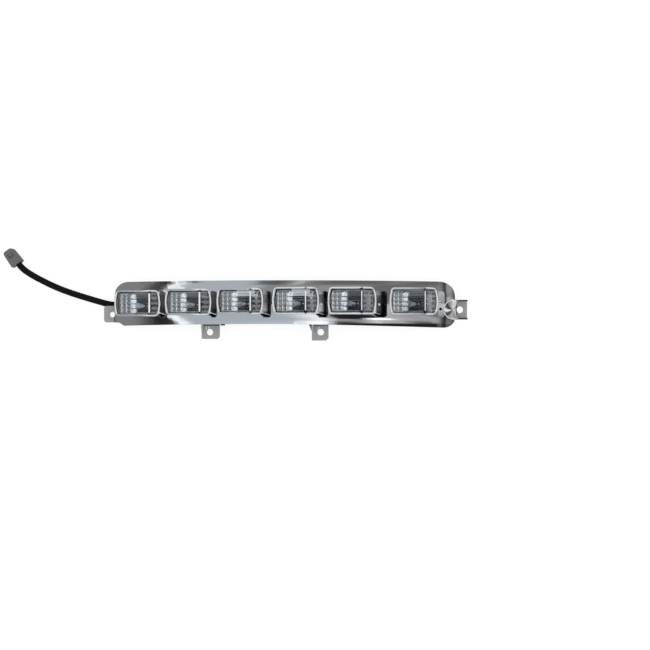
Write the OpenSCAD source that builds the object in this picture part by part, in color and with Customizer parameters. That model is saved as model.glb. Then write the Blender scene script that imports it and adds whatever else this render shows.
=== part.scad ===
// Daytime running light: a bowed chrome bezel with six stepped lens cells, lying on its back.
// X runs along the bar, Y is up on the car and Z is the way the light shines.

/* [Bar] */
// Length of the chrome bezel, without its end tabs
bezel_l = 370; // [368:0.5:372]
// Height of the bezel at its middle
bezel_h = 47.2; // [46.5:0.1:48.5]
// How far the ends of the bar fall back behind its middle
bow = 10; // [8:0.5:11]
// Height of the band's front at the middle, above the rear face
front_z = 36; // [35:0.5:38]
// Radius of the front's crown from top to bottom
crown_r = 45; // [40:1:60]
// Thickness of the bezel's moulded wall
wall = 2.4; // [2:0.1:2.6]
// Height of the bezel's rear edge above the rear face
skirt_z = 11; // [10.5:0.5:11]

/* [Lens cells] */
// Left edge of each lens along the bar
cell_x = [-183.5, -128, -72, -12, 47.5, 114.5]; // [-184:0.5:115]
// Width of each lens
lens_w = [47, 47, 47, 47, 49.5, 49.5]; // [46:0.5:50]
// Width of each lens's steep side, right of its rib
riser_w = [9, 10, 11.5, 12.5, 14.5, 13.5]; // [8:0.5:15]
// Width of the recess to the right of each lens
pocket_w = [7, 7.5, 10, 11.5, 13, 8.5]; // [6:0.5:13]
// Height of each lens
lens_h = [25.2, 25.2, 25.2, 26.4, 26.4, 26.4]; // [25:0.1:27]
// Angle by which the lens faces lean towards the left end
aim = 13; // [10:0.5:15]
// Wall thickness of a lens
lens_t = 2; // [1.6:0.1:2.4]

/* [Fixings] */
// Distance between the two lower lug holes
lug_pitch = 121.4; // [118:0.1:124]
// Diameter of the lower lug holes
lug_hole_d = 7; // [6:0.1:7.6]
// Diameter of the hole in the left tab
tab_hole_d = 6.2; // [5.5:0.1:6.6]
// Diameter of the hole in the right bracket
bracket_hole_d = 7.4; // [6:0.1:7.6]
// Thickness of the lugs, tab and bracket floor
lug_t = 3; // [2.5:0.1:3]

/* [Lead] */
// Diameter of the lead's sleeve
lead_d = 7; // [6:0.5:7]
// Width of the connector
plug_w = 13; // [12:0.5:14]
// Length of the connector
plug_l = 18.5; // [17:0.5:20]
// Thickness of the connector
plug_t = 11; // [10.5:0.5:12]

/* [Hidden] */
cells = [0:5];

chrome = [0.72, 0.74, 0.77];
black_plastic = [0.1, 0.1, 0.11];
clear_plastic = [0.85, 0.88, 0.92, 0.45];
board_green = [0.1, 0.35, 0.2];
connector_grey = [0.42, 0.42, 0.43];
fit_gap = 0.15;
eps = 0.01;

// Outline of the bezel seen from the front
half_l = bezel_l / 2;
top_h = 24.1;
top_crown = 1.35;
bottom_mid = -10;
bottom_fall_left = [2.2, 2];
bottom_fall_right = [3.95, 1.3];
left_corner_r = 14;
top_right_r = 17.8;
bottom_right_r = 12;
step_y = -21.7;
step_x = -180.7;
step_end_x = -176;
edge_steps = 12;
corner_steps = 10;

function top_edge(x) = top_h - top_crown * pow((x - 10) / 175, 2);
function bottom_edge(x) =
  let (fall = x < bottom_mid ? bottom_fall_left : bottom_fall_right)
  top_h - bezel_h - fall[0] * pow(abs(x - bottom_mid) / 175, fall[1]);
function arc_points(c, r, a0, a1, n) =
  [for (k = [0:n]) c + r * [cos(a0 + (a1 - a0) * k / n), sin(a0 + (a1 - a0) * k / n)]];
function ramp(a, b, n) = [for (k = [0:n]) a + (b - a) * k / n];
function bar_outline(inset) =
  let (
    xr = half_l - top_right_r,
    xl = -half_l + left_corner_r,
    xb = half_l - bottom_right_r
  )
  concat(
    arc_points([xr, top_edge(xr) - top_right_r], top_right_r - inset, 0, 90, corner_steps),
    [for (x = ramp(xr, xl, edge_steps)) if (x < xr && x > xl) [x, top_edge(x) - inset]],
    arc_points([xl, top_edge(xl) - left_corner_r], left_corner_r - inset, 90, 180, corner_steps),
    [[-half_l + inset, step_y + inset], [step_x + inset * 0.4, step_y + inset]],
    [for (x = ramp(step_end_x, xb, edge_steps)) if (x < xb) [x, bottom_edge(x) + inset]],
    arc_points([xb, bottom_edge(xb) + bottom_right_r], bottom_right_r - inset, -90, 0, corner_steps)
  );

// The bow of the bar, a circle about an axis far behind it
bow_r = (half_l * half_l + bow * bow) / (2 * bow);
bow_angle = asin((half_l + 8) / bow_r);
end_roll_r = 14;
end_roll_x = half_l - 13;
function band_z(x) = front_z - bow_r + sqrt(bow_r * bow_r - x * x);

// The cells
rim_t = 1.3;
lens_lip = 1.5;
hood_drop = 1.2;
right_drop = 3;
seat_drop = 6;
bow_side = 2.2;
lens_corner_r = 2.4;
cell_arch = [50, 2, 2.8, 210];
function lens_right(i) = cell_x[i] + lens_w[i];
function cell_mid(i) = cell_x[i] + lens_w[i] / 2;
function cell_y(i) = cell_arch[1] - cell_arch[2] * pow((cell_mid(i) - cell_arch[0]) / cell_arch[3], 2);
function cell_low(i) = min(band_z(cell_x[i]), band_z(lens_right(i)));
function seat_z(i) = cell_low(i) - seat_drop;
function rib_x(i) = lens_right(i) - riser_w[i];
function rib_z(i) = band_z(cell_x[i]) + lens_lip + (rib_x(i) - cell_x[i]) * tan(aim);

// A lens outline: a rectangle with bowed sides and rounded corners, grown by g
function barrel(i, g) =
  let (
    w = lens_w[i] / 2 + g,
    h = lens_h[i] / 2 + g,
    r = max(lens_corner_r + g, 0.6),
    side_r = (h * h + bow_side * bow_side) / (2 * bow_side),
    side_a = asin((h - r) / side_r),
    corner = [w - side_r + (side_r - r) * cos(side_a), h - r]
  )
  concat(
    arc_points([w - side_r, 0], side_r, -side_a, side_a, 6),
    arc_points(corner, r, side_a, 90, 5),
    arc_points([-corner[0], corner[1]], r, 90, 180 - side_a, 5),
    arc_points([side_r - w, 0], side_r, 180 - side_a, 180 + side_a, 6),
    arc_points([-corner[0], -corner[1]], r, 180 + side_a, 270, 5),
    arc_points([corner[0], -corner[1]], r, 270, 360 - side_a, 5)
  );

// Inner parts, as depths below a lens's rear edge
foot_t = 1.5;
foot_w = 1.7;
dish_depth = 9.5;
right_slope = [10.9, 4.5];
board_depth = 12;
led_board_t = 1.6;
led_u = 31.5;
board_u = 26;
guide_u = 19.5;
guide_l = 9.5;
beam_drop = 2.7;
bowl_y = [-11.2, 10.1];
beam_floor_y = [-10.8, 5.6];
function beam_y(i) = cell_y(i) - beam_drop;
function dish_z(i) = seat_z(i) - foot_t;
function board_z(i) = dish_z(i) - board_depth;

// Rear housing
tub_inset = 6.5;
tub_t = 2;
seal_t = 1;
flange_z = skirt_z - 3;
flange_top = skirt_z - seal_t;
insert_z = skirt_z + 3;
floor_recess = 0.8;
floor_z = tub_t + floor_recess;
grommet_y = -2.1;
grommet_z = 6;
screw_x = [-100, 8, 104];
screw_inset = 4;
boss_r = 2.6;
screw_r = 1.4;
head_r = 2.3;
vent_place = [70, 0];
driver_place = [-16, 0];
driver_size = [28, 22, 1.6];
driver_z = 5;

// Tabs, bracket and the dish at the right end
tab_l = 13.7;
tab_y = [-21.5, -3.4];
tab_hole = [-189.7, -12.9];
lug_hole_y = -32.2;
first_lug_x = -82.8;
lug_bottom = -41.3;
bracket_y = -7.6;
bracket_w = 21.4;
bracket_wall_h = 6;
bracket_side_t = 1.4;
bracket_hole_x = 191;
dish_lean = 24;
dish_half_angle = 23;
dish_point = [195.4, 6.2];
dish_rim_z = 28.2;
dish_proud = 2.5;
overall_half = half_l + tab_l;
bar_y = (-lug_bottom - top_h) / 2;

// Lead route, in the frame of the whole part
lead_route = [
  [-187, 6.5, 6], [-192, 6.8, 5.7], [-198, 7.9, 5], [-205, 9.8, 4.1], [-213, 12.1, 3.6],
  [-221, 14.5, 3.5], [-229, 17, 3.5], [-237, 19.6, 3.5], [-245, 22.5, 3.5], [-253, 25.7, 3.5],
  [-261, 29.3, 3.5], [-269, 33.3, 3.6], [-276, 37, 4], [-282, 40.6, 4.6], [-287.6, 44.5, 5.2],
  [-292, 48.6, 5.5], [-294.4, 51.9, 5.5]
];
lead_sides = 10;
plug_turn = 126;
plug_offset = 1;
seal_l = 4;

module on_bar() {
  translate([0, bar_y, 0]) children();
}

module upright(z0, z1) {
  translate([0, 0, z0]) linear_extrude(z1 - z0) children();
}

// Draws a side view, x along the bar and y for height, and spreads it over half-width w
module side_view(w) {
  rotate([90, 0, 0]) linear_extrude(2 * w, center = true) children();
}

module bowed(inset) {
  minor = crown_r - inset;
  translate([0, 0, front_z - bow_r])
    rotate([-90, 0, 0])
      rotate([0, 0, -90 - bow_angle])
        rotate_extrude(angle = 2 * bow_angle, $fn = 256)
          intersection() {
            translate([bow_r - crown_r, 0]) circle(minor, $fn = 120);
            translate([bow_r - 34, -32]) square([40, 64]);
          }
}

module end_roll(inset) {
  roll_z = band_z(end_roll_x) - end_roll_r;
  side_view(40) {
    translate([-half_l - 5, -5]) square([half_l + 5 + end_roll_x, 70]);
    translate([end_roll_x, roll_z]) circle(end_roll_r - inset, $fn = 90);
    translate([end_roll_x - 1, -5]) square([20, roll_z + 8]);
  }
}

module bezel_block(inset) {
  intersection() {
    bowed(inset);
    end_roll(inset);
    upright(inset > 0 ? skirt_z - 1 : skirt_z, 60) polygon(bar_outline(inset));
  }
}

module lens_column(i, g, z0, z1) {
  translate([cell_mid(i), cell_y(i), 0]) upright(z0, z1) polygon(barrel(i, g));
}

// The stepped front of a cell: a leaning face up to the rib, then the steep side
module stepped_front(i, shift, z0) {
  left = cell_x[i] - 4;
  right = lens_right(i) + 4;
  lean = tan(aim);
  fall = (rib_z(i) - band_z(lens_right(i)) + right_drop) / riser_w[i];
  translate([shift[0], 0, shift[1]])
    side_view(30)
      polygon([
        [left, z0 - shift[1]],
        [right, z0 - shift[1]],
        [right, rib_z(i) - fall * (right - rib_x(i))],
        [rib_x(i), rib_z(i)],
        [left, rib_z(i) - lean * (rib_x(i) - left)]
      ]);
}

module hood(i) {
  intersection() {
    lens_column(i, fit_gap + rim_t, seat_z(i), 60);
    stepped_front(i, [0, -hood_drop], seat_z(i) - 1);
  }
}

pocket_low = -16;
pocket_high = 12;
function pocket_x(i) = lens_right(i) + fit_gap + rim_t;
function pocket_z(i) = band_z(pocket_x(i)) + 0.8;

module pocket_area(i, g) {
  w = pocket_w[i] - fit_gap - rim_t + g;
  h = pocket_high - pocket_low + 2 * g;
  r = 3 + g;
  translate([pocket_x(i) - 3, pocket_low - g]) {
    square([w + 3 - r, h]);
    translate([0, r]) square([w + 3, h - 2 * r]);
    for (y = [r, h - r]) translate([w + 3 - r, y]) circle(r, $fn = 48);
  }
}

module pocket_body(i, g) {
  intersection() {
    upright(0, 60) pocket_area(i, g);
    translate([pocket_x(i), 0, pocket_z(i)])
      rotate([90, 0, 0])
        cylinder(r = pocket_w[i] - fit_gap - rim_t + g, h = 60, center = true, $fn = 96);
    translate([pocket_x(i) - (g > 0 ? rim_t : 0), -30, 0]) cube([20, 60, 60]);
  }
}

module left_tab() {
  r = 3;
  x0 = -overall_half;
  upright(skirt_z, skirt_z + lug_t)
    difference() {
      union() {
        translate([x0 + r, tab_y[0]]) square([half_l - 183 + tab_l, tab_y[1] - tab_y[0]]);
        translate([x0, tab_y[0] + r]) square([r * 2, tab_y[1] - tab_y[0] - 2 * r]);
        for (y = [tab_y[0] + r, tab_y[1] - r]) translate([x0 + r, y]) circle(r, $fn = 48);
      }
      translate(tab_hole) circle(d = tab_hole_d, $fn = 64);
    }
}

module gusset(x, low, high) {
  t = 1.8;
  rise = 8;
  translate([x, 0, skirt_z + lug_t - eps])
    rotate([90, 0, 90])
      linear_extrude(t) polygon([[high, 0], [low, 0], [high, rise]]);
}

module lower_lug(outline, hole_x) {
  upright(skirt_z, skirt_z + lug_t)
    difference() {
      polygon(outline);
      translate([hole_x, lug_hole_y]) circle(d = lug_hole_d, $fn = 64);
    }
}

module lower_lugs() {
  hang = -22;
  low = -39.6;
  x1 = first_lug_x;
  x2 = first_lug_x + lug_pitch;
  lower_lug([
    [x1 - 9.1, hang], [x1 - 9.1, low + 0.8], [x1 - 8.3, low],
    [x1 + 8.4, low], [x1 + 10.6, low + 2.2], [x1 + 10.6, hang]
  ], x1);
  lower_lug([
    [x2 - 13.3, hang], [x2 - 13.3, hang - 1.4], [x2 - 9.8, -31.4], [x2 - 9.8, lug_bottom],
    [x2 + 5.8, lug_bottom], [x2 + 8.5, lug_bottom + 2.7], [x2 + 8.5, hang]
  ], x2);
  gusset(x1 - 9.1, -33.4, hang);
  gusset(x2 - 9.8, -33, hang);
}

module bracket() {
  x0 = half_l - 2;
  difference() {
    translate([x0, bracket_y - bracket_w / 2, skirt_z])
      cube([overall_half - x0, bracket_w, lug_t + bracket_wall_h]);
    bracket_room(x0 - 1);
  }
}

// The room inside the bracket's channel, from x0 on, with the hole below it
module bracket_room(x0) {
  w = bracket_w - 2 * bracket_side_t;
  translate([x0, bracket_y - w / 2, skirt_z + lug_t]) cube([30, w, 30]);
  translate([bracket_hole_x, bracket_y, 0]) cylinder(d = bracket_hole_d, h = 40, $fn = 64);
}

// The dish that leads a screwdriver to the bracket's hole: a leaning cone, cut level at z0
module end_dish(g, z0) {
  l = 34;
  back = g / sin(dish_half_angle);
  intersection() {
    translate([dish_point[0], bracket_y, dish_point[1]])
      rotate([0, -dish_lean, 0])
        translate([0, 0, -back])
          cylinder(r1 = 0, r2 = (l + back) * tan(dish_half_angle), h = l + back, $fn = 96);
    translate([150, -40, z0]) cube([60, 80, 40]);
  }
}

module screw_bosses(r, z0, z1) {
  for (x = screw_x) {
    translate([x, top_edge(x) - screw_inset, z0]) cylinder(r = r, h = z1 - z0, $fn = 32);
    translate([x, bottom_edge(x) + screw_inset, z0]) cylinder(r = r, h = z1 - z0, $fn = 32);
  }
}

// Small notches where the hood's ridge breaks at the rib
module hood_notch(i) {
  notch = [1.7, 1.7, 50];
  translate([rib_x(i) + 0.6, cell_y(i), rib_z(i) - hood_drop])
    rotate([90, 45, 0]) cube(notch, center = true);
}

// The slanting drain slot at the low end of a recess, beside the hood's corner
module drain_slot(i) {
  low = pocket_low + 0.5;
  x0 = pocket_x(i) - 2.2;
  x1 = pocket_x(i) + pocket_w[i] - 3;
  difference() {
    upright(skirt_z, 60) polygon([[x0, low + 1.5], [x1, low], [x1, low + 2], [x0, low + 3.6]]);
    lens_column(i, fit_gap + rim_t - 0.2, 0, 70);
  }
}

// Two webs between the last hood and its recess
module end_webs() {
  web = [4.4, 0.7, 5.5];
  for (y = [-1.05, 1.05])
    translate([pocket_x(5) - 0.3, y - web[1] / 2, pocket_z(5) - 8.5]) cube(web);
}

module bezel() {
  boss_h = 9;
  dish_t = 1.6;
  color(chrome) on_bar() {
    difference() {
      union() {
        difference() {
          bezel_block(0);
          bezel_block(wall);
        }
        intersection() {
          bezel_block(0);
          union() {
            for (i = cells) pocket_body(i, wall - 0.4);
            end_dish(dish_t, skirt_z);
          }
        }
        intersection() {
          end_dish(dish_t, skirt_z);
          end_roll(-dish_proud);
          translate([half_l - 18, -40, skirt_z])
            cube([18 + dish_proud + 1, 80, dish_rim_z - skirt_z]);
        }
        for (i = cells) hood(i);
        screw_bosses(boss_r, flange_top, skirt_z + boss_h);
        left_tab();
        lower_lugs();
      }
      for (i = cells) lens_column(i, fit_gap, 0, 70);
      for (i = cells) pocket_body(i, 0);
      for (i = cells) hood_notch(i);
      for (i = [0:4]) drain_slot(i);
      end_dish(0, skirt_z + lug_t);
      bracket_room(half_l + 1.4);
      translate([pocket_x(5) + 3.4, bracket_y + 0.6, 0]) cylinder(r = 1.5, h = 40, $fn = 32);
      screw_bosses(screw_r + 0.05, 0, skirt_z + boss_h - 1);
    }
    bracket();
    end_webs();
  }
}

// Round bars side by side, their backs in the plane z = 0 and their axes along x
module round_bars(count, pitch, r, proud, l) {
  for (k = [0:count - 1])
    translate([0, (k + 0.5 - count / 2) * pitch, proud - r])
      rotate([0, 90, 0]) cylinder(r = r, h = l, $fn = 48);
}

// Round flutes behind a lens's steep side, which spread the light up and down
module lens_flutes(i) {
  flutes = 3;
  flute_r = 5.5;
  proud = 0.7;
  end_gap = 2;
  fall = rib_z(i) - band_z(lens_right(i)) + right_drop;
  run = norm([fall, riser_w[i]]);
  intersection() {
    translate([rib_x(i) - lens_t, cell_y(i), rib_z(i) - lens_t])
      rotate([0, atan(fall / riser_w[i]), 0])
        translate([end_gap, 0, 0]) mirror([0, 0, 1])
          round_bars(flutes, (lens_h[i] - 2 * lens_t - 2) / flutes, flute_r, proud, run - 2 * end_gap);
    lens_column(i, eps - lens_t, seat_z(i), 60);
    stepped_front(i, [-lens_t + eps, -lens_t + eps], seat_z(i) - 1);
  }
}

// A clear hollow block, open behind, with a foot along its top and bottom
module lens(i) {
  foot_x = cell_x[i] + 5;
  foot_l = rib_x(i) - cell_x[i] - 8;
  rear = seat_z(i) - foot_t;
  color(clear_plastic) on_bar() {
    difference() {
      union() {
        intersection() {
          lens_column(i, 0, rear, 60);
          stepped_front(i, [0, 0], rear - 1);
        }
        translate([foot_x, cell_y(i) - lens_h[i] / 2 - foot_w, rear])
          cube([foot_l, lens_h[i] + 2 * foot_w, foot_t]);
      }
      intersection() {
        lens_column(i, -lens_t, rear - 1, 60);
        stepped_front(i, [-lens_t, -lens_t], rear - 2);
      }
    }
    lens_flutes(i);
  }
}

// A metallised dish: convex facets on its left slope, then a fluted floor and a barred right slope
module reflector(i) {
  w = lens_w[i];
  slope_a = [3, -0.8];
  slope_b = [17, -8.3];
  slope_l = norm(slope_b - slope_a);
  slope_angle = atan((slope_a[1] - slope_b[1]) / (slope_b[0] - slope_a[0]));
  columns = 3;
  rows = 4;
  facet_y = [-10.6, 9.8];
  pitch = (facet_y[1] - facet_y[0]) / rows;
  facet_r = 8;
  drop_r = 2.4;
  color(chrome) on_bar() translate([cell_x[i], cell_y(i), dish_z(i)]) {
    difference() {
      dish_shell(i);
      difference() {
        side_view(lens_h[i])
          polygon([
            slope_a + [0, 4], slope_a, slope_b, [19, -dish_depth], [w - right_slope[0], -dish_depth],
            [w - right_slope[1], slope_a[1]], [w - right_slope[1], slope_a[1] + 4]
          ]);
        dish_sides(w);
      }
      translate([led_u - 2.8, -beam_drop - 2.8, -dish_depth - 3]) cube([5.6, 5.6, 5]);
      for (y = [-9.7, -7.4, 2, 4.3])
        translate([20.5, y, -dish_depth + 0.5]) rotate([0, 90, 0]) cylinder(r = 1.1, h = w - 33, $fn = 32);
    }
    for (r = [0:rows - 1]) {
      y = facet_y[0] + (r + 0.5) * pitch;
      translate([slope_a[0], y, slope_a[1]])
        rotate([0, slope_angle, 0])
          for (c = [0:columns - 1])
            facet([(c + 0.5) * slope_l / columns, 0], [slope_l / columns - 0.2, pitch - 0.2], facet_r);
      translate([18.4, y, -dish_depth])
        intersection() {
          rotate([0, 90, 0]) sphere(drop_r, $fn = 32);
          translate([-drop_r, -drop_r, -0.5]) cube([drop_r + 1, 2 * drop_r, 5]);
        }
    }
    slope_bars(w);
  }
}

// The solid that a dish is hollowed from, with two feet for its board
module dish_shell(i) {
  w = lens_w[i];
  foot_r = 1.1;
  translate([w / 2, 0, 0]) upright(-foot_t, 0) polygon(barrel(i, -0.3));
  side_view(lens_h[i] / 2 - 0.4)
    polygon([
      [1.6, -0.5], [1.6, -2.2], [16, -9.8], [18.5, -dish_depth - 1.2],
      [w - 7.5, -dish_depth - 1.2], [w - 2.2, -2], [w - 2.2, -0.5]
    ]);
  for (x = [19.5, 36]) for (y = [-7, 4])
    translate([x, y, -board_depth]) cylinder(r = foot_r, h = 2, $fn = 24);
}

// What stays of a dish above and below its bowl; the upper side leans beyond the facets
module dish_sides(w) {
  facet_end = 16;
  reach = 28;
  translate([-1, -reach, -20]) cube([w + 2, reach + bowl_y[0], 30]);
  translate([-1, bowl_y[1], -20]) cube([w + 2, reach, 30]);
  translate([facet_end, 0, 0])
    rotate([90, 0, 90])
      linear_extrude(w) polygon([
        [beam_floor_y[1], -20], [beam_floor_y[1], -dish_depth], [bowl_y[1], -0.8], [bowl_y[1] + 1, -20]
      ]);
}

// Three round bars on a dish's right slope
module slope_bars(w) {
  bars = 3;
  run = [right_slope[0] - right_slope[1], dish_depth - 1.6];
  intersection() {
    translate([w - right_slope[0], (beam_floor_y[0] + beam_floor_y[1]) / 2, -dish_depth])
      rotate([0, -atan(run[1] / run[0]), 0])
        round_bars(bars, (beam_floor_y[1] - beam_floor_y[0]) / bars, 5, 0.7, norm(run));
    translate([w - right_slope[0] - 1, beam_floor_y[0], -dish_depth])
      cube([right_slope[0], beam_floor_y[1] - beam_floor_y[0], dish_depth - 1.6]);
    side_view(14)
      polygon([
        [w - right_slope[0] - 2, -dish_depth], [w - 8, -dish_depth - 1], [w - 3, -2], [w - 5, -1], [w - 16, -1]
      ]);
  }
}

// One convex facet: a shallow cap of a ball on a square foot
module facet(place, size, ball_r) {
  proud = 1;
  translate([place[0], place[1], 0])
    intersection() {
      translate([0, 0, proud - ball_r]) rotate([0, 90, 0]) sphere(ball_r, $fn = 48);
      translate([-size[0] / 2, -size[1] / 2, -0.6]) cube([size[0], size[1], 3]);
    }
}

module light_guide(i) {
  r1 = 4.4;
  r2 = 1.1;
  axis_z = -7;
  color(clear_plastic) on_bar() translate([cell_x[i], beam_y(i), dish_z(i)])
    intersection() {
      translate([guide_u, 0, axis_z]) rotate([0, 90, 0])
        cylinder(r1 = r1, r2 = r2, h = guide_l, $fn = 48);
      translate([guide_u, -8, -dish_depth]) cube([guide_l, 16, 10]);
    }
}

module led(i) {
  side = 5;
  h = 1.6;
  color([0.95, 0.93, 0.7]) on_bar() translate([cell_x[i] + led_u, beam_y(i), board_z(i)]) {
    translate([-side / 2, -side / 2, 0]) cube([side, side, h]);
    intersection() {
      translate([0, 0, h - 0.6]) sphere(1.9, $fn = 40);
      translate([-3, -3, h - 0.2]) cube([6, 6, 4]);
    }
  }
}

module led_board(i) {
  l = 28;
  w = 21;
  hole_r = 1.1;
  color([0.92, 0.92, 0.9]) on_bar()
    translate([cell_x[i] + board_u, beam_y(i), board_z(i) - led_board_t])
      difference() {
        translate([-l / 2, -w / 2, 0]) cube([l, w, led_board_t]);
        for (x = [-l / 2 + 2.5, l / 2 - 2.5])
          translate([x, 0, -1]) cylinder(r = hole_r, h = 4, $fn = 24);
      }
}

module board_pillars() {
  pin_r = 0.95;
  for (i = cells) for (u = [-11.5, 11.5])
    translate([cell_x[i] + board_u + u, beam_y(i), 1]) {
      cylinder(r = 2.4, h = board_z(i) - led_board_t - 1, $fn = 32);
      cylinder(r = pin_r, h = board_z(i) + 0.3 - 1, $fn = 24);
    }
}

// The black tub that closes the bezel from behind
module rear_housing() {
  bay_w = 48;
  bay_pitch = 56;
  nib_x = -71.5;
  nib = [4.8, 1.9, skirt_z - flange_z];
  color(black_plastic) on_bar()
    difference() {
      union() {
        difference() {
          union() {
            upright(0, flange_z + eps) polygon(bar_outline(tub_inset));
            upright(flange_z, flange_top) polygon(bar_outline(0.3));
            upright(flange_top - eps, insert_z) insert_ring();
            translate([nib_x, bottom_edge(nib_x) - 1.5, flange_z]) cube(nib);
          }
          upright(floor_z, 30) polygon(bar_outline(tub_inset + tub_t));
        }
        board_pillars();
        driver_standoffs();
      }
      for (k = [-3:2])
        translate([bay_pitch * (k + 0.5) - bay_w / 2 - 4, -11, -1]) cube([bay_w, 21, 1 + floor_recess]);
      translate([vent_place[0], vent_place[1], -1]) cylinder(r = 2, h = 10, $fn = 32);
      screw_bosses(screw_r + 0.3, 0, insert_z);
      translate([-half_l - 5, grommet_y, grommet_z]) rotate([0, 90, 0])
        cylinder(r = 4.1, h = 5 + tub_inset + tub_t, $fn = 48);
    }
}

module insert_ring() {
  t = 1.6;
  difference() {
    polygon(bar_outline(wall + 0.3));
    polygon(bar_outline(wall + 0.3 + t));
    translate([half_l - 18, -40]) square([30, 80]);
    translate([-half_l, -40]) square([9, 80]);
    for (x = screw_x) for (y = [top_edge(x) - screw_inset, bottom_edge(x) + screw_inset])
      translate([x, y]) circle(boss_r + 0.4, $fn = 32);
  }
}

module driver_standoffs() {
  d = driver_size;
  translate([driver_place[0], driver_place[1], 1])
    for (x = [-1, 1]) for (y = [-1, 1])
      translate([x * (d[0] / 2 - 3), y * (d[1] / 2 - 3), 0]) cylinder(r = 1.8, h = driver_z - 1, $fn = 24);
}

module housing_seal() {
  color([0.15, 0.15, 0.15]) on_bar()
    difference() {
      upright(flange_top, skirt_z)
        difference() {
          polygon(bar_outline(0.5));
          polygon(bar_outline(wall - 0.2));
        }
      screw_bosses(boss_r + fit_gap, flange_top - 1, skirt_z + 1);
    }
}

module housing_screws() {
  head_h = 2;
  color("dimgray") on_bar() {
    screw_bosses(screw_r, flange_z - eps, skirt_z + 6);
    difference() {
      screw_bosses(head_r, flange_z - head_h, flange_z);
      screw_bosses(0.9, flange_z - head_h - 1, flange_z - 1);
    }
  }
}

module vent_cap() {
  color("whitesmoke") on_bar() translate([vent_place[0], vent_place[1], 0]) {
    cylinder(r = 1.95, h = 3.4, $fn = 32);
    translate([0, 0, floor_z]) cylinder(r = 4, h = 1.4, $fn = 32);
  }
}

module driver_board() {
  color(board_green) on_bar()
    translate([driver_place[0] - driver_size[0] / 2, driver_place[1] - driver_size[1] / 2, driver_z])
      cube(driver_size);
}

module driver_coil() {
  color([0.3, 0.28, 0.26]) on_bar() translate([-23.5, 3.5, driver_z + driver_size[2]])
    difference() {
      cylinder(r = 5, h = 4, $fn = 48);
      translate([0, 0, 2]) cylinder(r = 2, h = 5, $fn = 32);
    }
}

module driver_capacitors() {
  color([0.2, 0.22, 0.3]) on_bar()
    for (x = [-13.5, -6])
      translate([x, 5, driver_z + driver_size[2]]) cylinder(r = 3, h = 5, $fn = 32);
}

module driver_chips() {
  color([0.08, 0.08, 0.08]) on_bar()
    for (x = [-28, -20, -10])
      translate([x, -9, driver_z + driver_size[2]]) cube([6, 5, 1.5]);
}

module cable_grommet() {
  tail = 2 + tub_inset;
  color([0.12, 0.12, 0.12]) on_bar()
    translate([-half_l - 2, grommet_y, grommet_z]) rotate([0, 90, 0]) {
      cylinder(r1 = 3.7, r2 = 4, h = tail, $fn = 48);
      translate([0, 0, tail - eps]) cylinder(r = 4, h = tub_t + eps, $fn = 48);
      translate([0, 0, tail + tub_t - eps])
        intersection() {
          cylinder(r = 4.8, h = 1.5, $fn = 48);
          translate([-5, -5, 0]) cube([5 + grommet_z - floor_z - fit_gap, 10, 1.5]);
        }
    }
}

// A tube along the route, with its rings set square to it
function unit(v) = v / norm(v);
function route_dir(p, k) =
  unit(k == 0 ? [-1, 0, 0] : k == len(p) - 1 ? p[k] - p[k - 1] : p[k + 1] - p[k - 1]);
function ring(p, k, r, n) =
  let (
    d = route_dir(p, k),
    side = unit(cross([0, 0, 1], d)),
    up = cross(d, side)
  )
  [for (j = [0:n - 1]) p[k] + r * (cos(360 * j / n) * side + sin(360 * j / n) * up)];

module lead() {
  n = lead_sides;
  rings = len(lead_route);
  points = [for (k = [0:rings - 1]) each ring(lead_route, k, lead_d / 2, n)];
  sides = [for (k = [0:rings - 2]) for (j = [0:n - 1])
    [k * n + j, k * n + (j + 1) % n, (k + 1) * n + (j + 1) % n, (k + 1) * n + j]];
  start = [for (j = [n - 1:-1:0]) j];
  end = [for (j = [0:n - 1]) (rings - 1) * n + j];
  color([0.07, 0.07, 0.07]) polyhedron(points, concat([start], sides, [end]));
}

module at_plug() {
  translate(lead_route[len(lead_route) - 1]) rotate([0, 0, plug_turn]) children();
}

// The connector, x along its length from the wire side
module connector_body() {
  w0 = plug_w;
  w1 = plug_w - 2;
  low = -lead_route[len(lead_route) - 1][2];
  color(connector_grey) at_plug() translate([0, plug_offset, 0])
    difference() {
      union() {
        upright(low, low + plug_t)
          polygon(concat(
            [[seal_l, -w0 / 2], [plug_l - 3, -w1 / 2 - 0.3]],
            arc_points([plug_l - 3, -w1 / 2 + 2.7], 3, -90, 0, 5),
            arc_points([plug_l - 3, w1 / 2 - 2.7], 3, 0, 90, 5),
            [[seal_l, w0 / 2]]
          ));
        difference() {
          upright(low, low + plug_t) translate([0, -w0 / 2]) square([seal_l + eps, w0]);
          translate([-1, 0, 0]) rotate([0, 90, 0]) cylinder(r = 4.6, h = seal_l + 1, $fn = 48);
        }
      }
      translate([9, -2.6, low + plug_t - 1.2]) cube([1.2, 5.2, 2]);
      for (y = [-2.6, 1.6]) translate([9, y, low + plug_t - 1.2]) cube([5, 1, 2]);
      for (y = [-2.6, 2.6]) translate([seal_l + 2, y - 1.2, -1.2]) cube([plug_l, 2.4, 2.4]);
      translate([plug_l - 3, -3.9, 2.2]) cube([4, 7.8, 1.6]);
    }
}

module connector_lock() {
  color([0.55, 0.55, 0.56]) at_plug() translate([0, plug_offset, 0])
    translate([plug_l - 3 + 0.05, -3.8, 2.25]) cube([2.9, 7.6, 1.5]);
}

module wire_seal() {
  color([0.62, 0.66, 0.3]) at_plug() translate([0, plug_offset, 0])
    rotate([0, 90, 0]) {
      cylinder(r = 4.5, h = 1, $fn = 48);
      translate([0, 0, 1 - eps]) cylinder(r = 4.1, h = 1, $fn = 48);
      translate([0, 0, 2 - 2 * eps]) cylinder(r = 4.5, h = 1, $fn = 48);
      translate([0, 0, 3 - 3 * eps]) cylinder(r = 4.1, h = 1, $fn = 48);
    }
}

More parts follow.
